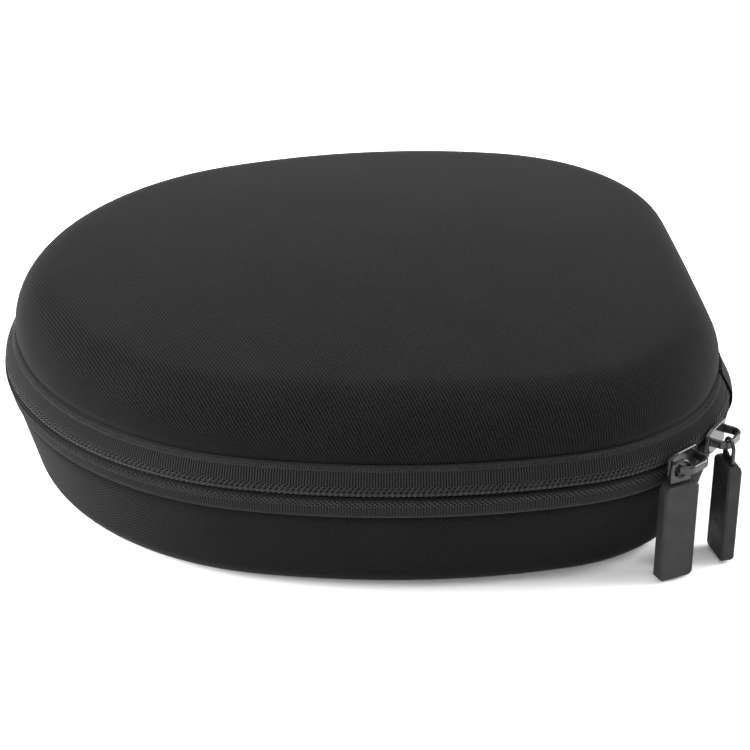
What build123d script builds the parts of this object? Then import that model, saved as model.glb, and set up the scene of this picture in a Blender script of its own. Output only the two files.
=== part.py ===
from build123d import *
import os
from math import acos, atan2, cos, degrees, hypot, radians, sin, tan

# Headphone carrying case, millimetres.
# A moulded clamshell: base tray and lid, joined by a zip round three sides and by a cloth
# hinge along the flat side.  +Z up, X along the length with the hinge at +X, origin at the
# middle of the footprint on the surface that the case stands on.

# ---- driving dimensions ---------------------------------------------------------------
LENGTH = 210.0          # over the zip ridge, along X
BIG_R = 91.4            # rounded end
CORNER_R = 60.1         # the two corners beside the hinge
CORNER_Y = 33.6         # half the straight part of the hinge side
SIDE_R = 213.3          # long gentle sides
HINGE_PROUD = 1.2       # how far the hinge cloth stands outside the zip ridge
SEAM_Z = 34.0           # height of the zip line
HEIGHT = 64.4           # top of the crown

LID_EDGE_Z = 42.0       # bottom edge of the lid shell
LID_INSET = 3.5         # lid wall, inside the zip ridge
LID_EDGE_R = 15.0       # round between lid wall and crown
CROWN_X = 8.3           # where the crown is highest, along the length
CROWN_ALONG_R = 966.0   # radius of the crown along the length
CROWN_ACROSS_R = 827.0  # and across it

BASE_EDGE_Z = 27.4      # top edge of the base shell
BASE_INSET = 1.35       # base wall at its top edge, inside the zip ridge
BASE_DRAFT = 15.0       # degrees
BASE_EDGE_R = 8.5       # round between base wall and floor

SHELL_T = 3.0           # cloth-covered foam board
LINING_T = 0.6
TAPE_T = 1.4
SEAM_GAP = 1.2          # between the two tapes, where the slider's wedge runs
COIL_W = 1.4            # zip coil, in from the tape
COIL_H = 1.4
COIL_GAP = 0.1          # between tape and coil, and between coil and zip line
BINDING_T = 0.8         # band over the raw inner edge of each shell
BINDING_GAP = 0.1       # band to zip tape
EDGE_GAP = 0.05         # band to shell and lining
LID_LEG = 1.5           # how far each band runs along its lining
BASE_LEG = 5.0
CLOTH_T = 0.9           # hinge cloth
LID_REACH = 1.2         # how far each outer hinge leaf lies on its shell
BASE_REACH = 5.0
LEAF_GAP = 0.1          # outer leaf to zip tape and shell
LINING_GAP = 0.2        # hinge lining to the lining of the tray
SPLIT = 0.3             # between the hinge's two leaves, on the fold line
ZIP_END = 11.0          # degrees along the corner arc where the zip stops
HINGE_END = 14.0        # degrees along the corner arc where the hinge cloth stops
HINGE_LINING_END = 10.0

POCKET_X = 6.0          # mouth of the mesh pocket
POCKET_Z = 43.2
POCKET_T = 0.8
ELASTIC_W = 5.0
ELASTIC_T = 1.6

SLIDERS = {1: -52.5, 2: -36.5}      # degrees along the front corner arc
TAB_YAW = {1: -69.0, 2: 10.0}       # which way each pull tab faces, degrees from +X
HOOK_ALONG = {1: -4.1, 2: -4.0}     # middle of each eye's hole, along the zip from its slider
HOOK_OUT = {1: 4.5, 2: 7.4}         # and outside the zip ridge

PLATE_OUT = 0.85        # slider's outer plate, outside the zip ridge
PLATE_T = 1.1
PLATE_L = 11.4
PLATE_H = 7.6
PLATE_NOSE_H = 5.5      # its height at the nose
PLATE_NECK = 2.3        # where it starts to narrow, from its middle
PLATE_CORNER = 1.1
PLATE_EDGE = 0.4
INNER_IN = 4.15         # slider's inner plate, inside the zip ridge
INNER_L = 10.0
INNER_H = 6.8
INNER_CORNER = 1.2
WEDGE_T = 0.6           # wedge that joins the plates through the seam
WEDGE_L = 3.4
STRAP_T = 1.2           # bridge strap, outward
STRAP_H = 2.5           # bridge strap, upward
STRAP_RISE = 0.8        # strap's middle above the zip line
STRAP_OUT = 7.1         # strap's middle, outside the zip ridge
STRAP_NEAR = 4.25       # strap's leg towards the big end, from the slider's middle
STRAP_FAR = 4.9         # and its leg towards the hinge
STRAP_BEND = 2.6
STRAP_EDGE = 0.5
STRAP_SINK = 0.3        # how deep the legs stand in the plate
EYE_T = 1.0
EYE_HOLE_R = 2.2
EYE_RIM = 1.0
EYE_EDGE = 0.35
EYE_RISE = 0.5          # middle of the eye's hole above the zip line
EYE_TAIL = 4.0          # eye plate's length inside the tab
TAB_W = 10.7
TAB_T = 4.0
TAB_GAP = 4.1           # tab's top edge below the middle of the eye's hole
TAB_BEVEL = 0.5
TAB_CORNER = 1.0
FLOOR_GAP = 0.5         # hanging tabs stop this far above the ground

# ---- worked out from them -------------------------------------------------------------
FLAT_X = (LENGTH - HINGE_PROUD) / 2
BIG_X = FLAT_X - LENGTH + BIG_R
CORNER_X = FLAT_X - CORNER_R
HINGE_X = FLAT_X + HINGE_PROUD
DRAFT_TAN = tan(radians(BASE_DRAFT))
LINED = SHELL_T + LINING_T
UPPER = SEAM_Z + SEAM_GAP / 2
LOWER = SEAM_Z - SEAM_GAP / 2

# The side arc touches the big end and the corner from inside, so its centre lies at
# known distances from both of theirs.
reach_big = SIDE_R - BIG_R
reach_corner = SIDE_R - CORNER_R
span = hypot(CORNER_X - BIG_X, CORNER_Y)
lean = atan2(CORNER_Y, CORNER_X - BIG_X)
swing = acos((reach_big**2 + span**2 - reach_corner**2) / (2 * reach_big * span))
SIDE_X = BIG_X + reach_big * cos(lean - swing)
SIDE_Y = reach_big * sin(lean - swing)
BIG_TURN = degrees(atan2(-SIDE_Y, BIG_X - SIDE_X))
CORNER_TURN = degrees(atan2(CORNER_Y - SIDE_Y, CORNER_X - SIDE_X))


# ---- outline and paths ----------------------------------------------------------------
def outline(inset):
    """The plan of the zip ridge, moved in by inset, as a face on the ground."""
    edge_x = FLAT_X - inset
    side_arc = BIG_TURN - CORNER_TURN
    with BuildSketch() as plan:
        with BuildLine():
            Line((edge_x, -CORNER_Y), (edge_x, CORNER_Y))
            CenterArc((CORNER_X, CORNER_Y), CORNER_R - inset, 0, CORNER_TURN)
            CenterArc((SIDE_X, SIDE_Y), SIDE_R - inset, CORNER_TURN, side_arc)
            CenterArc((BIG_X, 0), BIG_R - inset, BIG_TURN, 360 - 2 * BIG_TURN)
            CenterArc((SIDE_X, -SIDE_Y), SIDE_R - inset, -BIG_TURN, side_arc)
            CenterArc((CORNER_X, -CORNER_Y), CORNER_R - inset, -CORNER_TURN, CORNER_TURN)
        make_face()
    return plan.sketch


def round_path(end_angle):
    """The ridge line from the front corner, round the big end, to the back corner.

    It starts end_angle degrees along the front corner arc, or in the middle of the hinge
    side, and goes all the way round, if end_angle is None."""
    first = end_angle or 0
    side_arc = BIG_TURN - CORNER_TURN
    with BuildLine() as path:
        if end_angle is None:
            Line((FLAT_X, 0), (FLAT_X, -CORNER_Y))
        CenterArc((CORNER_X, -CORNER_Y), CORNER_R, -first, first - CORNER_TURN)
        CenterArc((SIDE_X, -SIDE_Y), SIDE_R, -CORNER_TURN, -side_arc)
        CenterArc((BIG_X, 0), BIG_R, -BIG_TURN, 2 * BIG_TURN - 360)
        CenterArc((SIDE_X, SIDE_Y), SIDE_R, BIG_TURN, -side_arc)
        CenterArc((CORNER_X, CORNER_Y), CORNER_R, CORNER_TURN, first - CORNER_TURN)
        if end_angle is None:
            Line((FLAT_X, CORNER_Y), (FLAT_X, 0))
    return path.line


def hinge_path(end_angle):
    """The ridge line across the hinge side, from the back corner to the front one."""
    with BuildLine() as path:
        CenterArc((CORNER_X, CORNER_Y), CORNER_R, end_angle, -end_angle)
        Line((FLAT_X, CORNER_Y), (FLAT_X, -CORNER_Y))
        CenterArc((CORNER_X, -CORNER_Y), CORNER_R, 0, -end_angle)
    return path.line


def section_plane(path):
    """The plane across the start of a path: x outward from the ridge, y upward."""
    along = path % 0
    return Plane(origin=path @ 0, x_dir=(-along.Y, along.X, 0), z_dir=along)


ZIP_LINE = round_path(ZIP_END)
RIM_LINE = round_path(None)
HINGE_LINE = hinge_path(HINGE_END)
HINGE_LINING_LINE = hinge_path(HINGE_LINING_END)


# ---- moulded shells -------------------------------------------------------------------
def lid_form(inset):
    """The solid shape of the lid, inset evenly from its outside."""
    with BuildPart() as form:
        with BuildSketch(Plane.XY.offset(LID_EDGE_Z)):
            add(outline(LID_INSET + inset))
        extrude(amount=HEIGHT - LID_EDGE_Z)
        with BuildSketch(Plane.YZ.offset(CROWN_X)):
            with Locations((0, HEIGHT - CROWN_ACROSS_R)):
                Circle(CROWN_ACROSS_R - inset)
            Rectangle(LENGTH, 3 * HEIGHT, mode=Mode.INTERSECT)
        across_middle = Axis((CROWN_X, 0, HEIGHT - CROWN_ALONG_R), (0, 1, 0))
        revolve(axis=across_middle, mode=Mode.INTERSECT)
        crown = form.faces().sort_by(Axis.Z)[-1]
        fillet(crown.edges(), LID_EDGE_R - inset)
    return form.part


def base_form(inset):
    """The solid shape of the base, inset evenly from its outside."""
    level = inset / cos(radians(BASE_DRAFT))
    with BuildPart() as form:
        with BuildSketch(Plane.XY.offset(BASE_EDGE_Z)):
            add(outline(BASE_INSET + level))
        with BuildSketch(Plane.XY.offset(inset)):
            add(outline(BASE_INSET + level + (BASE_EDGE_Z - inset) * DRAFT_TAN))
        loft(ruled=True)
        floor = form.faces().sort_by(Axis.Z)[0]
        fillet(floor.edges(), BASE_EDGE_R - inset)
    return form.part


os.makedirs("parts", exist_ok=True)

with BuildPart() as lid_shell:
    add(lid_form(0))
    add(lid_form(SHELL_T), mode=Mode.SUBTRACT)
lid_shell.part.label = "lid_shell"
export_step(lid_shell.part, "parts/lid_shell.step")

with BuildPart() as lid_lining:
    add(lid_form(SHELL_T))
    add(lid_form(LINED), mode=Mode.SUBTRACT)
lid_lining.part.label = "lid_lining"
export_step(lid_lining.part, "parts/lid_lining.step")

with BuildPart() as base_shell:
    add(base_form(0))
    add(base_form(SHELL_T), mode=Mode.SUBTRACT)
base_shell.part.label = "base_shell"
export_step(base_shell.part, "parts/base_shell.step")

with BuildPart() as base_lining:
    add(base_form(SHELL_T))
    add(base_form(LINED), mode=Mode.SUBTRACT)
base_lining.part.label = "base_lining"
export_step(base_lining.part, "parts/base_lining.step")


# ---- zip tapes and coils --------------------------------------------------------------
# Sections are points (distance outside the ridge, height).
lid_slope = LID_INSET / (LID_EDGE_Z - UPPER)
base_slope = BASE_INSET / (LOWER - BASE_EDGE_Z)

with BuildPart() as lid_tape:
    with BuildLine():
        add(ZIP_LINE)
    with BuildSketch(section_plane(ZIP_LINE)):
        with BuildLine():
            Polyline(
                (0, UPPER),
                (-LID_INSET, LID_EDGE_Z),
                (-LID_INSET - TAPE_T, LID_EDGE_Z),
                (-TAPE_T, UPPER),
                close=True,
            )
        make_face()
    sweep()
lid_tape.part.label = "lid_tape"
export_step(lid_tape.part, "parts/lid_tape.step")

with BuildPart() as base_tape:
    with BuildLine():
        add(ZIP_LINE)
    with BuildSketch(section_plane(ZIP_LINE)):
        with BuildLine():
            Polyline(
                (0, LOWER),
                (-TAPE_T, LOWER),
                (-BASE_INSET - TAPE_T, BASE_EDGE_Z),
                (-BASE_INSET, BASE_EDGE_Z),
                close=True,
            )
        make_face()
    sweep()
base_tape.part.label = "base_tape"
export_step(base_tape.part, "parts/base_tape.step")

coil_up = UPPER + COIL_GAP + COIL_H / 2
coil_down = LOWER - COIL_GAP - COIL_H / 2
lid_coil_in = TAPE_T + COIL_GAP + lid_slope * (COIL_H + COIL_GAP) + COIL_W / 2
base_coil_in = TAPE_T + COIL_GAP + base_slope * (COIL_H + COIL_GAP) + COIL_W / 2

with BuildPart() as lid_coil:
    with BuildLine():
        add(ZIP_LINE)
    with BuildSketch(section_plane(ZIP_LINE)):
        with Locations((-lid_coil_in, coil_up)):
            RectangleRounded(COIL_W, COIL_H, COIL_H / 3)
    sweep()
lid_coil.part.label = "lid_coil"
export_step(lid_coil.part, "parts/lid_coil.step")

with BuildPart() as base_coil:
    with BuildLine():
        add(ZIP_LINE)
    with BuildSketch(section_plane(ZIP_LINE)):
        with Locations((-base_coil_in, coil_down)):
            RectangleRounded(COIL_W, COIL_H, COIL_H / 3)
    sweep()
base_coil.part.label = "base_coil"
export_step(base_coil.part, "parts/base_coil.step")


# ---- bindings round the two rims, inside ----------------------------------------------
lid_rim_in = LID_INSET + TAPE_T + BINDING_GAP
lid_leg_in = LID_INSET + LINED + EDGE_GAP
base_rim_in = BASE_INSET + TAPE_T + BINDING_GAP
base_leg_in = BASE_INSET + LINED / cos(radians(BASE_DRAFT)) + EDGE_GAP

with BuildPart() as lid_binding:
    with BuildLine():
        add(RIM_LINE)
    with BuildSketch(section_plane(RIM_LINE)):
        with BuildLine():
            Polyline(
                (-lid_rim_in, LID_EDGE_Z - EDGE_GAP),
                (-lid_leg_in, LID_EDGE_Z - EDGE_GAP),
                (-lid_leg_in, LID_EDGE_Z + LID_LEG),
                (-lid_leg_in - BINDING_T, LID_EDGE_Z + LID_LEG),
                (-lid_leg_in - BINDING_T, LID_EDGE_Z - EDGE_GAP - BINDING_T),
                (-lid_rim_in, LID_EDGE_Z - EDGE_GAP - BINDING_T),
                close=True,
            )
        make_face()
    sweep()
lid_binding.part.label = "lid_binding"
export_step(lid_binding.part, "parts/lid_binding.step")

with BuildPart() as base_binding:
    with BuildLine():
        add(RIM_LINE)
    leg_shift = BASE_LEG * DRAFT_TAN
    with BuildSketch(section_plane(RIM_LINE)):
        with BuildLine():
            Polyline(
                (-base_rim_in, BASE_EDGE_Z + EDGE_GAP),
                (-base_leg_in, BASE_EDGE_Z + EDGE_GAP),
                (-base_leg_in - leg_shift, BASE_EDGE_Z - BASE_LEG),
                (-base_leg_in - leg_shift - BINDING_T, BASE_EDGE_Z - BASE_LEG),
                (-base_leg_in - BINDING_T, BASE_EDGE_Z + EDGE_GAP + BINDING_T),
                (-base_rim_in, BASE_EDGE_Z + EDGE_GAP + BINDING_T),
                close=True,
            )
        make_face()
    sweep()
base_binding.part.label = "base_binding"
export_step(base_binding.part, "parts/base_binding.step")


# ---- cloth hinge: an outer leaf and an inner lining leaf on each half -----------------
fold_up = SEAM_Z + SPLIT / 2
fold_down = SEAM_Z - SPLIT / 2
lining_in = BASE_INSET + LINED + LINING_GAP

with BuildPart() as hinge_leaf_upper:
    with BuildLine():
        add(HINGE_LINE)
    with BuildSketch(section_plane(HINGE_LINE)):
        with BuildLine():
            Polyline(
                (HINGE_PROUD, fold_up),
                (HINGE_PROUD, UPPER + CLOTH_T),
                (CLOTH_T + LEAF_GAP - LID_INSET, LID_EDGE_Z + CLOTH_T),
                (CLOTH_T + LEAF_GAP - LID_INSET, LID_EDGE_Z + LID_REACH),
                (LEAF_GAP - LID_INSET, LID_EDGE_Z + LID_REACH),
                (LEAF_GAP - LID_INSET, LID_EDGE_Z + LEAF_GAP),
                (LEAF_GAP, UPPER),
                (LEAF_GAP, fold_up),
                close=True,
            )
        make_face()
    sweep()
hinge_leaf_upper.part.label = "hinge_leaf_upper"
export_step(hinge_leaf_upper.part, "parts/hinge_leaf_upper.step")

with BuildPart() as hinge_leaf_lower:
    with BuildLine():
        add(HINGE_LINE)
    reach_shift = BASE_REACH * DRAFT_TAN
    with BuildSketch(section_plane(HINGE_LINE)):
        with BuildLine():
            Polyline(
                (HINGE_PROUD, fold_down),
                (LEAF_GAP, fold_down),
                (LEAF_GAP - BASE_INSET, BASE_EDGE_Z),
                (LEAF_GAP - BASE_INSET - reach_shift, BASE_EDGE_Z - BASE_REACH),
                (CLOTH_T + LEAF_GAP - BASE_INSET - reach_shift, BASE_EDGE_Z - BASE_REACH),
                (CLOTH_T + LEAF_GAP - BASE_INSET, BASE_EDGE_Z),
                (HINGE_PROUD, LOWER - CLOTH_T),
                close=True,
            )
        make_face()
    sweep()
hinge_leaf_lower.part.label = "hinge_leaf_lower"
export_step(hinge_leaf_lower.part, "parts/hinge_leaf_lower.step")

lid_lining_foot = LID_EDGE_Z - 2 * EDGE_GAP - BINDING_T
base_lining_head = BASE_EDGE_Z + 2 * EDGE_GAP + BINDING_T

with BuildPart() as hinge_lining_upper:
    with BuildLine():
        add(HINGE_LINING_LINE)
    with BuildSketch(section_plane(HINGE_LINING_LINE)):
        with Locations((-lining_in, fold_up)):
            Rectangle(BINDING_T, lid_lining_foot - fold_up, align=(Align.MAX, Align.MIN))
    sweep()
hinge_lining_upper.part.label = "hinge_lining_upper"
export_step(hinge_lining_upper.part, "parts/hinge_lining_upper.step")

with BuildPart() as hinge_lining_lower:
    with BuildLine():
        add(HINGE_LINING_LINE)
    with BuildSketch(section_plane(HINGE_LINING_LINE)):
        with Locations((-lining_in, fold_down)):
            Rectangle(BINDING_T, fold_down - base_lining_head, align=(Align.MAX, Align.MAX))
    sweep()
hinge_lining_lower.part.label = "hinge_lining_lower"
export_step(hinge_lining_lower.part, "parts/hinge_lining_lower.step")


# ---- mesh pocket in the lid -----------------------------------------------------------
pocket_inset = lid_leg_in + BINDING_T + EDGE_GAP

with BuildPart() as mesh_pocket:
    with BuildSketch(Plane.XY.offset(POCKET_Z)):
        add(outline(pocket_inset))
        with Locations((POCKET_X, 0)):
            Rectangle(LENGTH, LENGTH, align=(Align.MIN, Align.CENTER), mode=Mode.INTERSECT)
    extrude(amount=POCKET_T)
mesh_pocket.part.label = "mesh_pocket"
export_step(mesh_pocket.part, "parts/mesh_pocket.step")

with BuildPart() as pocket_elastic:
    with BuildSketch(Plane.XY.offset(POCKET_Z + POCKET_T / 2 - ELASTIC_T / 2)):
        add(outline(pocket_inset))
        with Locations((POCKET_X, 0)):
            Rectangle(ELASTIC_W, LENGTH, align=(Align.MAX, Align.CENTER), mode=Mode.INTERSECT)
    extrude(amount=ELASTIC_T)
pocket_elastic.part.label = "pocket_elastic"
export_step(pocket_elastic.part, "parts/pocket_elastic.step")


# ---- sliders, eyes and tabs -----------------------------------------------------------
def heading(angle):
    """A level unit vector, angle degrees from +X."""
    return Vector(cos(radians(angle)), sin(radians(angle)), 0)


def upright(origin, yaw):
    """An upright plane facing yaw degrees from +X: x along it, y up, z outward."""
    return Plane(origin=origin, x_dir=heading(yaw + 90), z_dir=heading(yaw))


for number, angle in SLIDERS.items():
    ridge = Vector(CORNER_X, -CORNER_Y, SEAM_Z) + heading(angle) * CORNER_R
    outer = upright(ridge, angle)
    bridge_plane = Plane(
        origin=ridge + Vector(0, 0, STRAP_RISE),
        x_dir=heading(angle + 90),
        z_dir=(0, 0, -1),
    )
    hole = (
        ridge
        + heading(angle) * HOOK_OUT[number]
        + heading(angle + 90) * HOOK_ALONG[number]
        + Vector(0, 0, EYE_RISE)
    )
    tab_face = upright(hole, TAB_YAW[number])
    tab_length = hole.Z - TAB_GAP - FLOOR_GAP

    with BuildPart() as slider:
        with BuildSketch(outer.offset(PLATE_OUT)):
            with BuildLine():
                Polyline(
                    (-PLATE_L / 2, PLATE_NOSE_H / 2),
                    (-PLATE_NECK, PLATE_H / 2),
                    (PLATE_L / 2, PLATE_H / 2),
                    (PLATE_L / 2, -PLATE_H / 2),
                    (-PLATE_NECK, -PLATE_H / 2),
                    (-PLATE_L / 2, -PLATE_NOSE_H / 2),
                    close=True,
                )
            make_face()
            fillet(vertices(), PLATE_CORNER)
        extrude(amount=PLATE_T)
        rim = slider.faces().sort_by(Axis(ridge, heading(angle)))[-1].edges()
        fillet(rim, PLATE_EDGE)
        with BuildSketch(outer.offset(-INNER_IN)):
            RectangleRounded(INNER_L, INNER_H, INNER_CORNER)
        extrude(amount=-PLATE_T)
        with BuildSketch(outer.offset(-INNER_IN)):
            with Locations((PLATE_L / 4, 0)):
                Rectangle(WEDGE_L, WEDGE_T)
        extrude(amount=INNER_IN + PLATE_OUT)
        with BuildPart(mode=Mode.PRIVATE) as bridge:
            foot = PLATE_OUT + PLATE_T - STRAP_SINK
            with BuildSketch(bridge_plane):
                with BuildLine():
                    FilletPolyline(
                        (-STRAP_NEAR, foot),
                        (-STRAP_NEAR, STRAP_OUT),
                        (STRAP_FAR, STRAP_OUT),
                        (STRAP_FAR, foot),
                        radius=STRAP_BEND,
                    )
                trace(line_width=STRAP_T)
            extrude(amount=STRAP_H / 2, both=True)
            sides = bridge.faces().filter_by(Axis.Z)
            fillet(sides.edges(), STRAP_EDGE)
        add(bridge.part)
    slider.part.label = f"slider_{number}"
    export_step(slider.part, f"parts/slider_{number}.step")

    with BuildPart() as pull_eye:
        eye_r = EYE_HOLE_R + EYE_RIM
        with BuildSketch(tab_face):
            Circle(eye_r)
            Rectangle(2 * eye_r, TAB_GAP + EYE_TAIL, align=(Align.CENTER, Align.MAX))
            Circle(EYE_HOLE_R, mode=Mode.SUBTRACT)
        extrude(amount=EYE_T / 2, both=True)
        eye_faces = pull_eye.faces().sort_by(Axis(hole, heading(TAB_YAW[number])))
        fillet(eye_faces[0].edges() + eye_faces[-1].edges(), EYE_EDGE)
    pull_eye.part.label = f"pull_eye_{number}"
    export_step(pull_eye.part, f"parts/pull_eye_{number}.step")

    with BuildPart() as pull_tab:
        with BuildSketch(tab_face):
            with Locations((0, -TAB_GAP - tab_length / 2)):
                Rectangle(TAB_W, tab_length)
            chamfer(vertices(), TAB_CORNER)
        extrude(amount=TAB_T / 2, both=True)
        faces_out = pull_tab.faces().sort_by(Axis(hole, heading(TAB_YAW[number])))
        chamfer(faces_out[0].edges() + faces_out[-1].edges(), TAB_BEVEL)
        add(pull_eye.part, mode=Mode.SUBTRACT)
    pull_tab.part.label = f"pull_tab_{number}"
    export_step(pull_tab.part, f"parts/pull_tab_{number}.step")
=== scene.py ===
from math import acos, atan2, cos, hypot, pi, radians, sin, tan

import bpy
import numpy as np
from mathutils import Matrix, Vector, noise


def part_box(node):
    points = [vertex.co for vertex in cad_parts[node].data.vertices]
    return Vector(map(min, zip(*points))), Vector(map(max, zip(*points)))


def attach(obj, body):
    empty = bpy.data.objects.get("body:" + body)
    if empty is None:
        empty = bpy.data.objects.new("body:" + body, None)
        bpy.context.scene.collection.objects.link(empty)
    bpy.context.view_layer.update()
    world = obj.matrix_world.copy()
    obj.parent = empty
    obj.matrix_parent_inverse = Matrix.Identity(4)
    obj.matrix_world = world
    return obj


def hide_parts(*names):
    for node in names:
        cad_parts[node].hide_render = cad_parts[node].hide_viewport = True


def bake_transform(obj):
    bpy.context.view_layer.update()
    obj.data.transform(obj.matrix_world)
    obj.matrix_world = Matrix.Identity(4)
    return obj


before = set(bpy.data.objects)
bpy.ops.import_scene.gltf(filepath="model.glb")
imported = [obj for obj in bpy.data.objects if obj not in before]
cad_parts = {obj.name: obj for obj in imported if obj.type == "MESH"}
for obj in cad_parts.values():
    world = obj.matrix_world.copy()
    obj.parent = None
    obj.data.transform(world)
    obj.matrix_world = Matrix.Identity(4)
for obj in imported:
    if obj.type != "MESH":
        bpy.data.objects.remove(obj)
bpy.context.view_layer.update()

# Zipped headphone case, metres.  Every cloth surface is a section carried round the zip
# ridge, so it follows the CAD plan exactly; stitches, teeth and strands are swept tubes.

MM = 0.001

# ---- heights and insets, read from the frame ------------------------------------------
lid_low, lid_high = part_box("lid_shell")
tray_low, tray_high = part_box("base_shell")
upper_low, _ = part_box("lid_tape")
lower_low, lower_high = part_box("base_tape")

HEIGHT = lid_high.z
LID_EDGE_Z = lid_low.z
UPPER = upper_low.z                     # the two sides of the seam
LOWER = lower_high.z
BASE_EDGE_Z = tray_high.z
LID_INSET = lid_low.x - upper_low.x     # walls, inside the zip ridge
BASE_INSET = tray_low.x - lower_low.x
FLAT_X = lid_high.x + LID_INSET         # hinge side of the ridge
HINGE_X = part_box("hinge_leaf_upper")[1].x

# ---- the plan of the zip ridge, and the moulded sections -------------------------------
LENGTH = FLAT_X - upper_low.x
BIG_R = 91.4 * MM
CORNER_R = 60.1 * MM
CORNER_Y = 33.6 * MM
SIDE_R = 213.3 * MM
LID_EDGE_R = 15.0 * MM
CROWN_X = 8.3 * MM                      # where the crown is highest
CROWN_ALONG_R = 966.0 * MM
CROWN_ACROSS_R = 827.0 * MM
BASE_DRAFT = radians(15)
BASE_EDGE_R = 8.5 * MM
SHELL_T = 3.0 * MM
LINING_T = 0.6 * MM
ZIP_END = radians(11)                   # along the corner arcs
HINGE_END = radians(14)
HINGE_LINING_END = radians(10)

BIG_X = FLAT_X - LENGTH + BIG_R
CORNER_X = FLAT_X - CORNER_R
reach_big = SIDE_R - BIG_R
reach_corner = SIDE_R - CORNER_R
span = hypot(CORNER_X - BIG_X, CORNER_Y)
lean = atan2(CORNER_Y, CORNER_X - BIG_X)
swing = acos((reach_big**2 + span**2 - reach_corner**2) / (2 * reach_big * span))
SIDE_X = BIG_X + reach_big * cos(lean - swing)
SIDE_Y = reach_big * sin(lean - swing)
BIG_TURN = atan2(-SIDE_Y, BIG_X - SIDE_X)
CORNER_TURN = atan2(CORNER_Y - SIDE_Y, CORNER_X - SIDE_X)


def straight(first, last):
    """A stretch of the hinge side: its length, and place and heading at a distance along it."""
    def at(t):
        return np.full_like(t, FLAT_X), first + t, np.zeros_like(t)
    return last - first, at


def bend(x, y, radius, first, last):
    """An arc of the plan, as straight() gives a line."""
    def at(t):
        a = first + t / radius
        return x + radius * np.cos(a), y + radius * np.sin(a), a
    return radius * (last - first), at


STRETCHES = [
    straight(0, CORNER_Y),
    bend(CORNER_X, CORNER_Y, CORNER_R, 0, CORNER_TURN),
    bend(SIDE_X, SIDE_Y, SIDE_R, CORNER_TURN, BIG_TURN),
    bend(BIG_X, 0, BIG_R, BIG_TURN, 2 * pi - BIG_TURN),
    bend(SIDE_X, -SIDE_Y, SIDE_R, 2 * pi - BIG_TURN, 2 * pi - CORNER_TURN),
    bend(CORNER_X, -CORNER_Y, CORNER_R, 2 * pi - CORNER_TURN, 2 * pi),
    straight(-CORNER_Y, 0),
]
ROUND = sum(length for length, _ in STRETCHES)
ZIP_FROM = CORNER_Y + CORNER_R * ZIP_END
ZIP_TO = ROUND - ZIP_FROM


def ridge(s):
    """Places on the zip ridge and outward directions, s anticlockwise from the hinge's middle."""
    s = np.mod(s, ROUND)
    place = np.zeros((len(s), 2))
    out = np.zeros((len(s), 2))
    start = 0.0
    for length, at in STRETCHES:
        here = (s >= start) & (s <= start + length)
        x, y, a = at(s[here] - start)
        place[here] = np.stack((x, y), 1)
        out[here] = np.stack((np.cos(a), np.sin(a)), 1)
        start += length
    return place, out


def carried(s, section):
    """A section, as (distance outside the ridge, height), at each station s along the ridge."""
    place, out = ridge(s)
    section = np.broadcast_to(section, (len(s),) + section.shape[-2:])
    level = place[:, None] + out[:, None] * section[..., :1]
    return np.concatenate((level, section[..., 1:]), axis=2)


def eased(t):
    """0 to 1 with level ends."""
    t = np.clip(t, 0, 1)
    return t * t * (3 - 2 * t)


# ---- making meshes ----------------------------------------------------------------------
def mesh_piece(name, points, faces, uv=None):
    """A smooth mesh object whose faces look outward where it is closed."""
    points = np.asarray(points, float).reshape(-1, 3)
    mesh = bpy.data.meshes.new(name)
    mesh.from_pydata(points.tolist(), [], faces)
    if uv is not None:
        corners = np.zeros(len(mesh.loops), np.int64)
        mesh.loops.foreach_get("vertex_index", corners)
        layer = mesh.uv_layers.new(name="weave")
        layer.data.foreach_set("uv", np.asarray(uv, float).reshape(-1, 2)[corners].ravel())
    mesh.polygons.foreach_set("use_smooth", [True] * len(mesh.polygons))
    mesh.calc_loop_triangles()
    three = np.zeros(len(mesh.loop_triangles) * 3, np.int64)
    mesh.loop_triangles.foreach_get("vertices", three)
    a, b, c = points[three.reshape(-1, 3)].transpose(1, 0, 2)
    if np.einsum("ij,ij->i", a, np.cross(b, c)).sum() < 0:
        mesh.flip_normals()
    mesh.update()
    made = bpy.data.objects.new(name, mesh)
    bpy.context.scene.collection.objects.link(made)
    return made


def grid_faces(rows, columns, row_loop=False, column_loop=False, first=0):
    """Quads of a grid of points held row by row, closed in either direction or both."""
    faces = []
    for i in range(rows if row_loop else rows - 1):
        a, b = first + i * columns, first + (i + 1) % rows * columns
        for j in range(columns if column_loop else columns - 1):
            k = (j + 1) % columns
            faces.append((a + j, a + k, b + k, b + j))
    return faces


def band(name, points, uv=None):
    """A closed section carried along an open stretch, with both ends closed."""
    rows, columns = points.shape[:2]
    faces = grid_faces(rows, columns, column_loop=True)
    faces.append(tuple(range(columns)))
    faces.append(tuple(range(rows * columns - 1, (rows - 1) * columns - 1, -1)))
    return mesh_piece(name, points, faces, uv)


def hoop(name, points, uv=None):
    """A closed section carried all the way round."""
    faces = grid_faces(*points.shape[:2], row_loop=True, column_loop=True)
    return mesh_piece(name, points, faces, uv)


def bowl(name, points, uv):
    """Rings from one middle point, over a rim, to another middle point."""
    rows, columns = points.shape[:2]
    faces = grid_faces(rows, columns, column_loop=True)
    last = (rows - 1) * columns
    flat = points.reshape(-1, 3)
    hub = len(flat)
    everything = np.concatenate((flat, [points[0].mean(0)], [points[-1].mean(0)]))
    for j in range(columns):
        k = (j + 1) % columns
        faces.append((hub, k, j))
        faces.append((hub + 1, last + j, last + k))
    uv = np.concatenate((uv.reshape(-1, 2), [uv[0].mean(0)], [uv[-1].mean(0)]))
    return mesh_piece(name, everything, faces, uv)


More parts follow.
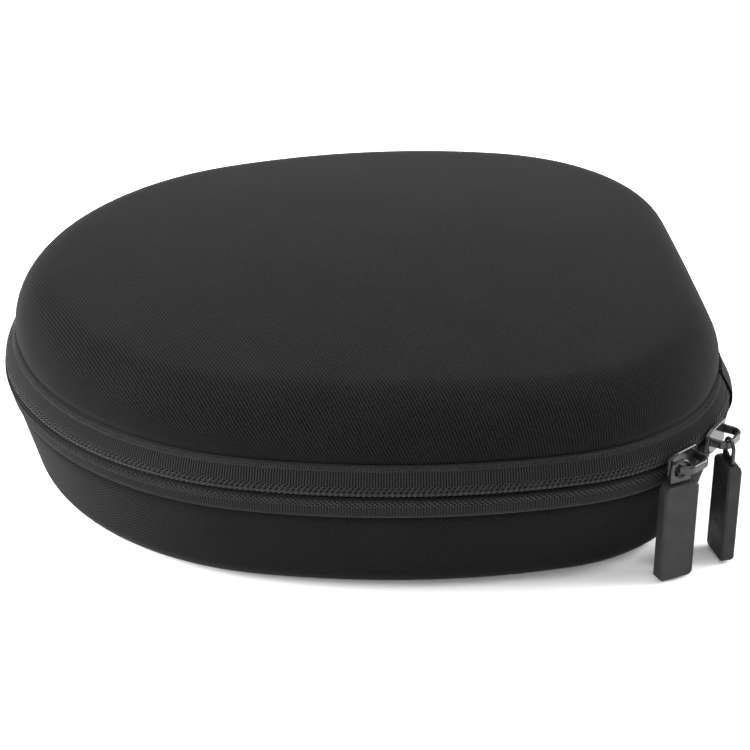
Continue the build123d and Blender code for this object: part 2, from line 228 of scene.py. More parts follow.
def tubes(name, lines, radius, sides=5):
    """Thin round strands, each along its own line of points, as one mesh."""
    points, faces, first = [], [], 0
    turn = np.arange(sides) * 2 * pi / sides
    for line in lines:
        along = np.gradient(line, axis=0)
        along /= np.linalg.norm(along, axis=1)[:, None]
        side = np.cross(along, (0, 0, 1))
        side /= np.linalg.norm(side, axis=1)[:, None]
        up = np.cross(side, along)
        rim = line[:, None] + radius * (
            np.cos(turn)[:, None] * side[:, None] + np.sin(turn)[:, None] * up[:, None]
        )
        rows = len(line)
        points.append(rim.reshape(-1, 3))
        faces += grid_faces(rows, sides, column_loop=True, first=first)
        faces.append(tuple(first + j for j in range(sides)))
        faces.append(tuple(first + (rows - 1) * sides + j for j in reversed(range(sides))))
        first += rows * sides
    return mesh_piece(name, np.concatenate(points), faces)


# ---- materials ----------------------------------------------------------------------------
class Finish:
    """A node material in the making: add() places a node and links or sets its inputs."""

    def __init__(self, name, roughness, **fixed):
        self.material = bpy.data.materials.new(name)
        self.material.use_nodes = True
        self.tree = self.material.node_tree
        self.shader = self.tree.nodes["Principled BSDF"]
        self.shader.inputs["Roughness"].default_value = roughness
        for socket, value in fixed.items():
            self.shader.inputs[socket.replace("_", " ")].default_value = value

    def add(self, kind, settings=None, **inputs):
        node = self.tree.nodes.new("ShaderNode" + kind)
        for key, value in (settings or {}).items():
            setattr(node, key, value)
        for key, value in inputs.items():
            socket = node.inputs[int(key[1:]) if key[0] == "_" else key.replace("_", " ")]
            if isinstance(value, bpy.types.NodeSocket):
                self.tree.links.new(value, socket)
            else:
                socket.default_value = value
        return node

    def wave(self, vector, pitch, turn=0.0, distortion=0.0):
        """Parallel lines pitch apart on the cloth, turned from its own x."""
        spun = self.add("Mapping", Vector=vector, Rotation=(0, 0, turn))
        settings = {"wave_type": "BANDS", "bands_direction": "X", "wave_profile": "SIN"}
        return self.add(
            "TexWave",
            settings,
            Vector=spun.outputs[0],
            Scale=pi / 10 / pitch,
            Distortion=distortion,
            Detail=1.0,
            Detail_Scale=4.0,
        ).outputs["Fac"]

    def noise(self, vector, size, detail=2.0):
        """Cloudy variation of about that size."""
        return self.add(
            "TexNoise", Vector=vector, Scale=1 / size, Detail=detail
        ).outputs["Fac"]

    def blend(self, factor, a, b, kind="FLOAT"):
        node = self.add("Mix", {"data_type": kind})
        first = {"FLOAT": 2, "RGBA": 6}[kind]
        for socket, value in ((0, factor), (first, a), (first + 1, b)):
            if isinstance(value, bpy.types.NodeSocket):
                self.tree.links.new(value, node.inputs[socket])
            else:
                node.inputs[socket].default_value = value
        return node.outputs[first // 2 - 1]

    def ramp(self, factor, low, high):
        """Stretches low..high of a factor to 0..1."""
        return self.add(
            "MapRange", _0=factor, _1=low, _2=high, _3=0.0, _4=1.0
        ).outputs[0]

    def finish(self, colour, height, strength, distance, roughness=None):
        self.tree.links.new(colour, self.shader.inputs["Base Color"])
        bump = self.add("Bump", Strength=strength, Distance=distance, Height=height)
        self.tree.links.new(bump.outputs[0], self.shader.inputs["Normal"])
        if roughness is not None:
            self.tree.links.new(roughness, self.shader.inputs["Roughness"])
        return self.material


def grey(level, tint=1.03):
    """A near-neutral colour, a touch cooler in its blue."""
    return (level, level, level * tint, 1)


def woven(name, dark, light, pitch, turn, sheen, fuzz=0.4):
    """Cloth with a fine diagonal weave, mottled fibres and a soft sheen at glancing light."""
    f = Finish(
        name,
        0.82,
        Sheen_Weight=sheen,
        Sheen_Roughness=0.42,
        Specular_IOR_Level=0.03,
    )
    cloth = f.add("UVMap", {"uv_map": "weave"}).outputs["UV"]
    body = f.add("TexCoord").outputs["Object"]
    line = f.wave(cloth, pitch, turn, 1.4)
    cross = f.wave(cloth, pitch * 0.8, turn + radians(78), 0.5)
    fibre = f.noise(body, 0.7 * MM, 3.0)
    cloud = f.noise(body, 14 * MM, 2.0)
    weave = f.blend(0.25, line, cross)
    mottled = f.blend(fuzz, weave, fibre)
    shaded = f.blend(0.12, mottled, cloud)
    colour = f.blend(f.ramp(shaded, 0.28, 0.72), grey(dark), grey(light), "RGBA")
    rough = f.blend(fibre, 0.74, 0.92)
    return f.finish(colour, mottled, 0.55, 0.12 * MM, rough)


def ribbed(name, dark, light, pitch):
    """Tape cloth: fine ribs across its length, with loose fibres between them."""
    f = Finish(name, 0.85, Sheen_Weight=0.04, Sheen_Roughness=0.4, Specular_IOR_Level=0.06)
    cloth = f.add("UVMap", {"uv_map": "weave"}).outputs["UV"]
    body = f.add("TexCoord").outputs["Object"]
    rib = f.wave(cloth, pitch, 0.0, 0.4)
    cross = f.wave(cloth, pitch * 0.7, radians(90), 0.8)
    fibre = f.noise(body, 0.3 * MM, 3.0)
    weave = f.blend(0.3, rib, cross)
    mottled = f.blend(0.4, weave, fibre)
    colour = f.blend(f.ramp(mottled, 0.25, 0.75), grey(dark), grey(light), "RGBA")
    return f.finish(colour, mottled, 0.6, 0.12 * MM, f.blend(fibre, 0.75, 0.95))


def thread(name, dark, light):
    """Spun thread, with a slight shine along its fibres."""
    f = Finish(name, 0.6, Sheen_Weight=0.05, Sheen_Roughness=0.35, Specular_IOR_Level=0.15)
    body = f.add("TexCoord").outputs["Object"]
    fibre = f.noise(body, 0.2 * MM, 3.0)
    cloud = f.noise(body, 2.5 * MM, 2.0)
    level = f.blend(0.4, fibre, cloud)
    colour = f.blend(f.ramp(level, 0.3, 0.7), grey(dark), grey(light), "RGBA")
    return f.finish(colour, fibre, 0.5, 0.06 * MM, f.blend(fibre, 0.5, 0.75))


def moulded(name, dark, light, roughness, grain, strength, coat=0.0, shine=0.3):
    """Moulded plastic, rubber or enamel: a fine grain, faint handling marks, and its gloss."""
    f = Finish(name, roughness, Coat_Weight=coat, Coat_Roughness=0.12, Specular_IOR_Level=shine)
    body = f.add("TexCoord").outputs["Object"]
    speckle = f.noise(body, grain, 2.0)
    cloud = f.noise(body, 4 * MM, 3.0)
    level = f.blend(0.5, speckle, cloud)
    colour = f.blend(f.ramp(level, 0.3, 0.7), grey(dark), grey(light), "RGBA")
    worn = f.blend(f.ramp(cloud, 0.35, 0.7), roughness * 0.85, min(1.0, roughness * 1.25))
    return f.finish(colour, speckle, strength, 0.05 * MM, worn)


SHELL_CLOTH = woven("shell_cloth", 0.0005, 0.0085, 0.87, radians(-21), 0.035)
HINGE_CLOTH = woven("hinge_cloth", 0.0005, 0.0085, 0.87, radians(30), 0.035)
LINING = woven("lining_knit", 0.005, 0.016, 0.90, radians(90), 0.12, 0.6)
BINDING = ribbed("binding_tape", 0.005, 0.018, 1.2)
TAPE = ribbed("zip_tape", 0.001, 0.018, 0.75)
# Near-black copy of the tape cloth for the recessed band under the stitches: painted shade in that
# recess.
GROOVE_SHADE = ribbed("tape_groove_painted_shade", 0.001, 0.003, 0.75)
STITCH = thread("stitch_thread", 0.002, 0.017)
COIL = moulded("zip_coil", 0.010, 0.024, 0.36, 0.3 * MM, 0.15, 0.0, 0.25)
ENAMEL = moulded("slider_enamel", 0.006, 0.012, 0.22, 0.25 * MM, 0.05, 0.25, 0.25)
RUBBER = moulded("pull_rubber", 0.007, 0.012, 0.62, 0.12 * MM, 0.35, 0.0, 0.22)
NET = thread("net_yarn", 0.012, 0.030)
ELASTIC = ribbed("elastic_band", 0.006, 0.022, 0.8)


def dress(piece, material, body, replaced=()):
    """Gives a piece its finish and the CAD body it moves with, and hides the CAD nodes it stands
    for.
    """
    piece.data.materials.append(material)
    if body:
        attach(piece, body)
    if replaced:
        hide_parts(*replaced)
    return piece


def ripple(points, size, depth):
    """Moves points up and down a little, in a cloudy pattern that is the same each run."""
    for ring in points:
        for p in ring:
            p[2] += depth * noise.noise(Vector(p) / size)


# ---- moulded shells -----------------------------------------------------------------------
def crown(x, y, inset):
    """Height of the lid's crown, moved in by inset."""
    bow = CROWN_ALONG_R - CROWN_ACROSS_R + np.sqrt((CROWN_ACROSS_R - inset) ** 2 - y**2)
    return HEIGHT - CROWN_ALONG_R + np.sqrt(bow**2 - (x - CROWN_X) ** 2)


AROUND = 480            # stations round a shell
PLAN_MIDDLE = np.array(((BIG_X + CORNER_X) / 2, 0.0))
stations = np.arange(AROUND) * ROUND / AROUND


def to_middle(edge, rows, height):
    """Rings from an edge ring to the middle of the plan, at height(x, y)."""
    rings = []
    for t in (np.arange(rows) + 1) / (rows + 1):
        level = edge[:, :2] + (PLAN_MIDDLE - edge[:, :2]) * t
        rings.append(np.column_stack((level, height(level[:, 0], level[:, 1]))))
    return np.array(rings)


def lid_rings(inset, wall_rows=14, round_rows=14, crown_rows=26):
    """Rings of the lid's surface from its rim to its middle, and where each was on flat cloth."""
    place, out = ridge(stations)
    hub = place - out * (LID_INSET + LID_EDGE_R)
    step = 0.1 * MM
    hub_z = crown(hub[:, 0], hub[:, 1], LID_EDGE_R)
    slope_x = (crown(hub[:, 0] + step, hub[:, 1], LID_EDGE_R) - hub_z) / step
    slope_y = (crown(hub[:, 0], hub[:, 1] + step, LID_EDGE_R) - hub_z) / step
    steep = np.column_stack((-slope_x, -slope_y, np.ones(AROUND)))
    steep /= np.linalg.norm(steep, axis=1)[:, None]
    outward = np.column_stack((out, np.zeros(AROUND)))
    turn = np.arccos(np.einsum("ij,ij->i", steep, outward))[:, None]
    hub = np.column_stack((hub, hub_z))
    radius = LID_EDGE_R - inset
    rings, cloth = [], []
    foot = hub + outward * radius
    top = hub + steep * radius
    for t in np.arange(wall_rows) / wall_rows:
        ring = foot.copy()
        ring[:, 2] = LID_EDGE_Z + (hub_z - LID_EDGE_Z) * t
        rings.append(ring)
        drop = (hub_z - ring[:, 2])[:, None] + radius * turn
        cloth.append(top[:, :2] + out * drop)
    for t in np.arange(round_rows + 1) / round_rows:
        way = (np.sin((1 - t) * turn) * outward + np.sin(t * turn) * steep) / np.sin(turn)
        rings.append(hub + way * radius)
        cloth.append(top[:, :2] + out * (1 - t) * radius * turn)
    inner = to_middle(top, crown_rows, lambda x, y: crown(x, y, inset))
    return np.concatenate((rings, inner)), np.concatenate((cloth, inner[..., :2]))


def base_rings(inset, wall_rows=8, round_rows=10, floor_rows=20):
    """The same for the base, from its rim to the middle of its floor."""
    place, out = ridge(stations)
    level = inset / cos(BASE_DRAFT)
    radius = BASE_EDGE_R - inset
    hub_z = inset + radius
    fall = tan(BASE_DRAFT)
    hub_d = -(BASE_INSET + level + (BASE_EDGE_Z - hub_z) * fall) - radius / cos(BASE_DRAFT)
    turn = pi / 2 - BASE_DRAFT
    top_d, top_z = -(BASE_INSET + level), BASE_EDGE_Z
    foot_d, foot_z = hub_d + radius * cos(BASE_DRAFT), hub_z - radius * sin(BASE_DRAFT)
    wall = hypot(top_d - foot_d, top_z - foot_z)
    section, flat = [], []
    for t in np.arange(wall_rows) / wall_rows:
        section.append((top_d + (foot_d - top_d) * t, top_z + (foot_z - top_z) * t))
        flat.append(hub_d + radius * turn + wall * (1 - t))
    for t in np.arange(round_rows + 1) / round_rows:
        a = -BASE_DRAFT - turn * t
        section.append((hub_d + radius * cos(a), hub_z + radius * sin(a)))
        flat.append(hub_d + radius * turn * (1 - t))
    rings = carried(stations, np.array(section)).transpose(1, 0, 2)
    cloth = np.array([place + out * d for d in flat])
    inner = to_middle(rings[-1], floor_rows, lambda x, y: np.full_like(x, inset))
    return np.concatenate((rings, inner)), np.concatenate((cloth, inner[..., :2]))


def tucked(out_rings, in_rings, reach=3.0 * MM, depth=0.22, ease=4.0 * MM):
    """Draws the wall in towards its rim, where the zip tape is sewn to it, but not at the hinge."""
    way = in_rings[0] - out_rings[0]
    far = np.abs(out_rings[..., 2] - out_rings[:1, :, 2])
    beside = np.minimum(stations, ROUND - stations) - CORNER_Y - CORNER_R * HINGE_END
    share = depth * (1 - eased(far / reach)) * eased(beside / ease)
    return out_rings + share[..., None] * way[None]


def moulding(name, rings_at, outer, inner, lip):
    """A shell between two insets of a moulded form, with its rim rounded over by lip."""
    out_rings, out_cloth = rings_at(outer)
    in_rings, in_cloth = rings_at(inner)
    ripple(out_rings[8:], 34 * MM, 0.12 * MM)
    rim = (out_rings[0] + in_rings[0]) / 2
    rim[:, 2] += lip
    out_rings = tucked(out_rings, in_rings)
    points = np.concatenate((out_rings[::-1], rim[None], in_rings))
    cloth = np.concatenate((out_cloth[::-1], out_cloth[:1], in_cloth))
    return bowl(name, points, cloth / MM)


lid_cover = moulding("lid_cover", lid_rings, 0, SHELL_T, -0.25 * MM)
dress(lid_cover, SHELL_CLOTH, "lid", ["lid_shell"])

base_cover = moulding("base_cover", base_rings, 0, SHELL_T, 0.25 * MM)
dress(base_cover, SHELL_CLOTH, "base", ["base_shell"])

lid_lining = moulding("lid_lining_cloth", lid_rings, SHELL_T + 0.02 * MM, SHELL_T + LINING_T, 0)
dress(lid_lining, LINING, "lid", ["lid_lining"])

base_lining = moulding("base_lining_cloth", base_rings, SHELL_T + 0.02 * MM, SHELL_T + LINING_T, 0)
dress(base_lining, LINING, "base", ["base_lining"])


# ---- zip tapes ----------------------------------------------------------------------------
TAPE_T = 1.2 * MM
TUCK_IN = 1.6 * MM                      # how far the tape's sewn edge reaches in under the shell
TUCK_UNDER = 0.45 * MM
RIB = 0.75 * MM                         # pitch of the tape's ribs
RIB_H = 0.15 * MM
BRAIDS = (0.13, 0.25)                   # rows of stitches, as shares of the tape's width
WHIP = (0.80, 0.97)                     # overcast edge beside the shell
TAPE_ROWS = (0, 0.02, 0.05, 0.09, 0.17, 0.21, 0.29, 0.33, 0.4, 0.5, 0.6, 0.7, 0.78, 0.84, 0.92, 1)


def tape_frame(inset, edge_z, seam_edge):
    """The tape's outer face: its width, its direction from the seam and its outward normal."""
    run = np.array((-inset, edge_z - seam_edge))
    width = np.linalg.norm(run)
    along = run / width
    out = np.array((abs(along[1]), -along[0] * np.sign(along[1])))
    return width, along, out


def tape(name, inset, edge_z, seam_edge):
    """Ribbed tape from the seam to the shell, swollen a little between its two rows of stitches."""
    width, along, out = tape_frame(inset, edge_z, seam_edge)
    count = int((ZIP_TO - ZIP_FROM) / RIB) * 4
    s = np.linspace(ZIP_FROM, ZIP_TO, count)
    share = np.array(TAPE_ROWS)
    swell = 0.45 * MM * np.sin(pi * share)
    swell -= 0.22 * MM * (eased((share - 0.05) / 0.04) - eased((share - 0.29) / 0.04))
    rolled = 0.35 * MM * np.exp(-share / 0.02)
    ribbed_share = eased((share - 0.31) / 0.04) * (1 - eased((share - 0.76) / 0.05))
    ribs = -RIB_H * np.cos(2 * pi * s / RIB)[:, None] * ribbed_share
    base = np.array((0, seam_edge)) + share[:, None] * width * along
    outer = base + ((swell - rolled)[None] + ribs)[..., None] * out
    back_share = np.array((0.99, 0.66, 0.33, 0.03))
    back = np.array((0, seam_edge)) + back_share[:, None] * width * along - TAPE_T * out
    back[0] = (-inset - TUCK_IN, edge_z - TUCK_UNDER * np.sign(along[1]))
    section = np.concatenate((outer, np.broadcast_to(back, (count, 4, 2))), axis=1)
    across = np.concatenate((share, back_share)) * width
    uv = np.stack(np.broadcast_arrays(s[:, None], across), axis=2)
    made = band(name, carried(s, section), uv / MM)
    made.data.materials.append(TAPE)
    made.data.materials.append(GROOVE_SHADE)
    columns = len(share) + len(back_share)
    # Faces of the recess between the rows of stitches take the near-black material: painted shade.
    in_painted_shade = [3 <= f % columns < 6 for f in range((count - 1) * columns)]
    made.data.polygons.foreach_set("material_index", [int(g) for g in in_painted_shade] + [0, 0])
    return made


def braid(inset, edge_z, seam_edge, share, phase, pitch=3.0 * MM, reach=0.42 * MM, lift=0.16 * MM):
    """Two threads that cross over and under each other along the tape."""
    width, along, out = tape_frame(inset, edge_z, seam_edge)
    s = np.arange(ZIP_FROM + MM, ZIP_TO - MM, pitch / 12)
    turn = 2 * pi * s / pitch + phase
    middle = np.array((0, seam_edge)) + share * width * along + 0.28 * MM * out
    lines = []
    for side in (1, -1):
        section = middle + side * (
            (reach * np.sin(turn))[:, None] * along + (lift * np.cos(turn))[:, None] * out
        )
        lines.append(carried(s, section[:, None])[:, 0])
    return lines


def whip(inset, edge_z, seam_edge, phase, pitch=1.3 * MM):
    """Overcast thread that zigzags along the tape's edge beside the shell."""
    width, along, out = tape_frame(inset, edge_z, seam_edge)
    s = np.arange(ZIP_FROM + MM, ZIP_TO - MM, pitch / 8)
    turn = 2 * pi * s / pitch + phase
    share = (WHIP[0] + WHIP[1]) / 2 + (WHIP[1] - WHIP[0]) / 2 * np.sin(turn)
    lift = 0.45 * MM * np.sin(pi * share) + 0.10 * MM * np.cos(turn)
    section = np.array((0, seam_edge)) + share[:, None] * width * along + lift[:, None] * out
    return [carried(s, section[:, None])[:, 0]]


for half, inset, edge_z, seam_edge in (
    ("lid", LID_INSET, LID_EDGE_Z, UPPER),
    ("base", BASE_INSET, BASE_EDGE_Z, LOWER),
):
    cloth = tape(f"{half}_tape_cloth", inset, edge_z, seam_edge)
    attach(cloth, half)
    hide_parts(f"{half}_tape")
    rows = []
    for number, share in enumerate(BRAIDS):
        rows += braid(inset, edge_z, seam_edge, share, number * pi / 2)
    stitches = tubes(f"{half}_tape_braid", rows, 0.21 * MM)
    dress(stitches, STITCH, half)
    edge = whip(inset, edge_z, seam_edge, 0) + whip(inset, edge_z, seam_edge, pi)
    dress(tubes(f"{half}_tape_overcast", edge, 0.17 * MM), STITCH, half)


# ---- zip coils ----------------------------------------------------------------------------
TOOTH = 1.5 * MM


def coil(name, middle_d, middle_z, reach_d, reach_z, phase):
    """A nylon wire wound into teeth beside the seam."""
    s = np.arange(ZIP_FROM + MM, ZIP_TO - MM, TOOTH / 12)
    turn = 2 * pi * s / TOOTH + phase
    section = np.column_stack((middle_d + reach_d * np.cos(turn), middle_z + reach_z * np.sin(turn)))
    line = carried(s, section[:, None])[:, 0]
    return tubes(name, [line], 0.27 * MM)


upper_coil = coil("lid_coil_teeth", -0.95 * MM, UPPER + 0.36 * MM, 0.75 * MM, 0.45 * MM, 0)
dress(upper_coil, COIL, "lid", ["lid_coil"])
lower_coil = coil("base_coil_teeth", -1.5 * MM, LOWER - 0.40 * MM, 0.9 * MM, 0.45 * MM, pi)
dress(lower_coil, COIL, "base", ["base_coil"])


# ---- bindings round the rims ----------------------------------------------------------------
BINDING_T = 0.8 * MM
BINDING_RIB = 1.2 * MM
LID_LEG = 1.5 * MM                      # how far each band runs along its lining
BASE_LEG = 5.0 * MM
GAP = 0.05 * MM


def folded(path, thickness):
    """A closed, round-edged section of a band: one face on a path, the other to its right."""
    path = np.array(path)
    along = np.gradient(path, axis=0)
    along /= np.linalg.norm(along, axis=1)[:, None]
    side = np.column_stack((along[:, 1], -along[:, 0]))
    start = path[0] + side[0] * thickness / 2 - along[0] * thickness / 3
    end = path[-1] + side[-1] * thickness / 2 + along[-1] * thickness / 3
    return np.concatenate((path, [end], (path + side * thickness)[::-1], [start]))


def ribbed_round(section, pitch, depth, s):
    """A section carried along s, swelling and narrowing a little at each rib."""
    middle = section.mean(0)
    swell = 1 + depth * np.cos(2 * pi * s / pitch)[:, None, None]
    outline = middle + (section - middle) * swell
    step = np.linalg.norm(np.diff(section, axis=0, append=section[:1]), axis=1)
    across = np.concatenate(((0,), np.cumsum(step)[:-1]))
    uv = np.stack(np.broadcast_arrays(s[:, None], across), axis=2) / MM
    return carried(s, outline), uv


def running(first, last, pitch, share, place):
    """Separate short stitches along the ridge at one place of a section, sunk at both ends."""
    lines = []
    for start in np.arange(first, last - pitch, pitch):
        s = np.linspace(start, start + pitch * share, 5)
        arc = np.sin(np.linspace(0, pi, 5)) * 0.22 * MM
        (d, z), (out, up) = place
        section = np.column_stack((d + out * arc, z + up * arc))
        lines.append(carried(s, section[:, None])[:, 0])
    return lines


around = np.arange(0, ROUND, BINDING_RIB / 4)
lid_in = LID_INSET + SHELL_T + LINING_T + GAP
base_in = BASE_INSET + (SHELL_T + LINING_T) / cos(BASE_DRAFT) + GAP
fall = tan(BASE_DRAFT)

lid_fold = folded(
    [
        (-LID_INSET - 1.10 * MM, LID_EDGE_Z - GAP),
        (-LID_INSET - 2.6 * MM, LID_EDGE_Z - GAP),
        (-lid_in + 0.5 * MM, LID_EDGE_Z - GAP),
        (-lid_in, LID_EDGE_Z + 0.3 * MM),
        (-lid_in, LID_EDGE_Z + 0.9 * MM),
        (-lid_in, LID_EDGE_Z + LID_LEG),
    ][::-1],
    BINDING_T,
)
base_fold = folded(
    [
        (-BASE_INSET - 1.20 * MM, BASE_EDGE_Z + GAP),
        (-BASE_INSET - 2.6 * MM, BASE_EDGE_Z + GAP),
        (-base_in + 0.5 * MM, BASE_EDGE_Z + GAP),
        (-base_in, BASE_EDGE_Z - 0.4 * MM),
        (-base_in - 2.5 * MM * fall, BASE_EDGE_Z - 2.5 * MM),
        (-base_in - BASE_LEG * fall, BASE_EDGE_Z - BASE_LEG),
    ],
    BINDING_T,
)
LID_ROW = 0.7 * MM                      # rows of stitches, from each shell's edge
BASE_ROW = 3.6 * MM
lid_row = (-lid_in - BINDING_T, LID_EDGE_Z + LID_ROW)
base_row = (-base_in - BINDING_T - BASE_ROW * fall, BASE_EDGE_Z - BASE_ROW)
for half, section, row in (
    ("lid", lid_fold, (lid_row, (-1, 0))),
    ("base", base_fold, (base_row, (-1, 0))),
):
    points, uv = ribbed_round(section, BINDING_RIB, 0.03, around)
    band_round = hoop(f"{half}_rim_band", points, uv)
    dress(band_round, BINDING, half, [f"{half}_binding"])
    seam_row = running(0, ROUND, 3.2 * MM, 0.75, row)
    dress(tubes(f"{half}_rim_stitches", seam_row, 0.16 * MM), STITCH, half)


# ---- cloth hinge ------------------------------------------------------------------------------
CLOTH_T = 0.9 * MM
LID_REACH = 1.2 * MM
BASE_REACH = 5.0 * MM
LEAF_GAP = 0.1 * MM


def between(path, steps):
    """Evenly placed points along a path of corners, with the corners eased."""
    path = np.array(path)
    reach = np.concatenate(((0,), np.cumsum(np.linalg.norm(np.diff(path, axis=0), axis=1))))
    t = np.linspace(0, reach[-1], steps)
    drawn = np.column_stack([np.interp(t, reach, path[:, k]) for k in (0, 1)])
    for _ in range(3):
        drawn[1:-1] = (drawn[:-2] + 2 * drawn[1:-1] + drawn[2:]) / 4
    return drawn, reach[-1]


def across_hinge(half_angle, step=0.6 * MM):
    """Stations across the hinge side, front to back, as far as half_angle round each corner."""
    reach = CORNER_Y + CORNER_R * half_angle
    return np.linspace(-reach, reach, int(2 * reach / step))


low_shift = BASE_REACH * fall
outer_path, cloth_high = between(
    [
        (LEAF_GAP + CLOTH_T - BASE_INSET - low_shift, BASE_EDGE_Z - BASE_REACH),
        (LEAF_GAP + CLOTH_T - BASE_INSET, BASE_EDGE_Z),
        (HINGE_X - FLAT_X, LOWER - CLOTH_T),
        (HINGE_X - FLAT_X, UPPER + CLOTH_T),
        (LEAF_GAP + CLOTH_T - LID_INSET, LID_EDGE_Z + 0.4 * MM),
        (LEAF_GAP + CLOTH_T - LID_INSET, LID_EDGE_Z + LID_REACH),
    ],
    40,
)
inner_path, _ = between(
    [
        (LEAF_GAP - BASE_INSET - low_shift, BASE_EDGE_Z - BASE_REACH + 0.1 * MM),
        (LEAF_GAP - BASE_INSET, BASE_EDGE_Z),
        (LEAF_GAP, LOWER),
        (LEAF_GAP, UPPER),
        (LEAF_GAP - LID_INSET, LID_EDGE_Z),
        (LEAF_GAP - LID_INSET, LID_EDGE_Z + LID_REACH - 0.1 * MM),
    ],
    40,
)
s = across_hinge(HINGE_END)
section = np.concatenate((outer_path, inner_path[::-1]))
share = np.concatenate((np.linspace(0, 1, 40), np.linspace(1, 0, 40))) * cloth_high
uv = np.stack(np.broadcast_arrays(s[:, None], share), axis=2) / MM
hinge_cloth = band("hinge_cloth_outer", carried(s, section), uv)
dress(hinge_cloth, HINGE_CLOTH, None, ["hinge_leaf_upper", "hinge_leaf_lower"])
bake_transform(hinge_cloth)
low_row = 0.65                          # share of the lower flap above its stitches
base_stitch = (
    LEAF_GAP + CLOTH_T - BASE_INSET - low_row * low_shift,
    BASE_EDGE_Z - low_row * BASE_REACH,
)
lid_stitch = (LEAF_GAP + CLOTH_T - LID_INSET, LID_EDGE_Z + 0.5 * MM)
for half, at_row in (("base", base_stitch), ("lid", lid_stitch)):
    stitches = running(s[0] + MM, s[-1], 3.0 * MM, 0.75, (at_row, (1, 0)))
    dress(tubes(f"hinge_{half}_stitches", stitches, 0.16 * MM), STITCH, half)

lining_d = BASE_INSET + SHELL_T + LINING_T + 0.2 * MM
lining_foot = BASE_EDGE_Z + 2 * GAP + BINDING_T
lining_head = LID_EDGE_Z - 2 * GAP - BINDING_T
s = across_hinge(HINGE_LINING_END)
heights = np.linspace(lining_foot, lining_head, 26)
bow = 0.15 * MM * np.sin(np.linspace(0, pi, 26))
front = np.column_stack((np.full(26, -lining_d), heights))
back = np.column_stack((-lining_d - BINDING_T + bow, heights))
section = np.concatenate((front, back[::-1]))
share = np.concatenate((heights, heights[::-1]))
uv = np.stack(np.broadcast_arrays(s[:, None], share), axis=2) / MM
hinge_lining = band("hinge_cloth_inner", carried(s, section), uv)
dress(hinge_lining, LINING, None, ["hinge_lining_upper", "hinge_lining_lower"])
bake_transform(hinge_lining)


# ---- mesh pocket in the lid -------------------------------------------------------------------
pocket_low, pocket_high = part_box("mesh_pocket")
elastic_low, elastic_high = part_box("pocket_elastic")
NET_PITCH = 2.1 * MM
NET_R = 0.28 * MM
NET_Z = (pocket_low.z + pocket_high.z) / 2
POCKET_INSET = FLAT_X - pocket_high.x
edge_place, edge_out = ridge(stations)


def inside(points, inset):
    """Which points of the plan lie within the ridge moved in by inset."""
    depth = (points @ edge_out.T) - np.einsum("ij,ij->i", edge_place, edge_out)
    return depth.max(1) < -inset


def net():
    """Yarns in two diagonal directions, each passing over and under the others."""
    lines = []
    reach = pocket_high.x - pocket_low.x + pocket_high.y - pocket_low.y
    half = int(reach / NET_PITCH)
    t = np.arange(-2 * half, 2 * half + 1) * NET_PITCH / 2
    for way in (1, -1):
        along, side = np.array((1, way)) / 2**0.5, np.array((-way, 1)) / 2**0.5
        for row in range(-half, half + 1):
            flat = side * (row + 0.5) * NET_PITCH + t[:, None] * along
            keep = inside(flat, POCKET_INSET + NET_R) & (flat[:, 0] > pocket_low.x)
            if keep.sum() < 3:
                continue
            cross = np.sin(pi * t[keep] / NET_PITCH + pi * row) * way
            z = NET_Z + 0.24 * MM * cross
            lines.append(np.column_stack((flat[keep], z)))
    return lines


pocket_net = tubes("pocket_net", net(), NET_R, sides=4)
dress(pocket_net, NET, "lid", ["mesh_pocket"])

ELASTIC_RIB = 0.8 * MM
y = np.arange(elastic_low.y, elastic_high.y, ELASTIC_RIB / 4)
turn = np.arange(20) * 2 * pi / 20
half_w, half_t = (elastic_high.x - elastic_low.x) / 2, (elastic_high.z - elastic_low.z) / 2
rim_x = np.sign(np.cos(turn)) * np.abs(np.cos(turn)) ** 0.35 * half_w
rim_z = np.sign(np.sin(turn)) * np.abs(np.sin(turn)) ** 0.5 * half_t * 0.9
rim = np.column_stack((rim_x, rim_z))
gather = 1 + 0.10 * np.cos(2 * pi * y / ELASTIC_RIB)[:, None]
points = np.stack(
    np.broadcast_arrays(
        (elastic_low.x + elastic_high.x) / 2 + rim[:, 0],
        y[:, None],
        (elastic_low.z + elastic_high.z) / 2 + rim[:, 1] * gather,
    ),
    axis=2,
)
uv = np.stack(np.broadcast_arrays(y[:, None], rim[:, 0]), axis=2) / MM
elastic = band("pocket_band", points, uv)
dress(elastic, ELASTIC, "lid", ["pocket_elastic"])


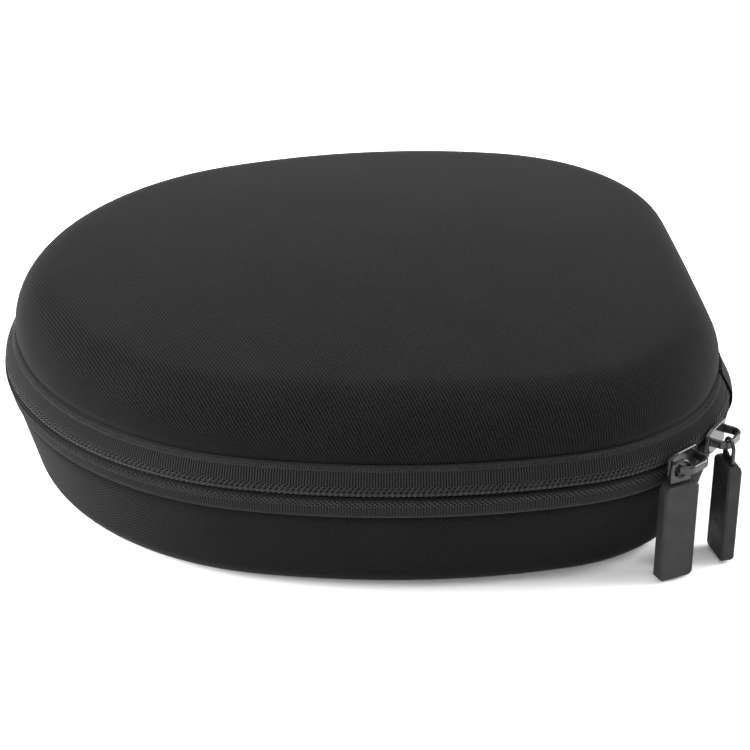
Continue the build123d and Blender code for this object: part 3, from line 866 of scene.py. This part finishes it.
# ---- sliders and pulls, on the CAD ----------------------------------------------------------
for name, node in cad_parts.items():
    if not name.startswith(("slider", "pull")):
        continue
    rubber = name.startswith("pull_tab")
    node.data.materials.clear()
    node.data.materials.append(RUBBER if rubber else ENAMEL)
    soften = node.modifiers.new("soft edges", "BEVEL")
    soften.width = (0.18 if rubber else 0.15) * MM
    soften.segments = 3
    soften.limit_method = "ANGLE"
    soften.angle_limit = radians(30)


# ---- floor, light and camera ------------------------------------------------------------------
FLOOR_HALF = 30
FLOOR_Z = -0.1 * MM


def floor():
    """A wide sheet of pale paper just under the case."""
    corners = ((-1, -1), (1, -1), (1, 1), (-1, 1))
    points = [(x * FLOOR_HALF, y * FLOOR_HALF, FLOOR_Z) for x, y in corners]
    made = mesh_piece("floor", points, [(0, 1, 2, 3)])
    f = Finish("floor_paper", 0.9, Specular_IOR_Level=0.1)
    body = f.add("TexCoord").outputs["Object"]
    mottled = f.noise(body, 0.02, 2.0)
    colour = f.blend(mottled, (0.88, 0.88, 0.88, 1), (0.92, 0.92, 0.92, 1), "RGBA")
    made.data.materials.append(f.finish(colour, mottled, 0.02, 0.1 * MM))


def soft_light(name, place, size, watts):
    """A round area light that faces the case."""
    lamp = bpy.data.lights.new(name, "AREA")
    lamp.shape = "DISK"
    lamp.size = size
    lamp.energy = watts
    made = bpy.data.objects.new(name, lamp)
    made.location = place
    made.rotation_euler = (Vector((0, 0, 0.03)) - made.location).to_track_quat("-Z", "Y").to_euler()
    bpy.context.scene.collection.objects.link(made)


floor()
soft_light("overhead", (0, 0.4, 2.0), 2.0, 35)
soft_light("left", (-1.15, -0.05, 0.50), 0.8, 46)
soft_light("right", (1.15, 0.05, 0.50), 0.8, 28)
soft_light("front", (-0.1, -1.3, 0.45), 1.2, 8)

world = bpy.data.worlds.new("studio")
world.use_nodes = True
world.node_tree.nodes["Background"].inputs["Color"].default_value = (1, 1, 1, 1)
world.node_tree.nodes["Background"].inputs["Strength"].default_value = 0.65
bpy.context.scene.world = world
bpy.context.scene.view_settings.view_transform = "Standard"

lens = bpy.data.cameras.new("camera")
lens.sensor_width = 36
lens.lens = 99.9
camera = bpy.data.objects.new("camera", lens)
camera.location = (-0.04104, -0.56009, 0.32227)
camera.rotation_euler = (radians(90 - 28.28), 0, radians(-4.70))
bpy.context.scene.collection.objects.link(camera)
bpy.context.scene.camera = camera
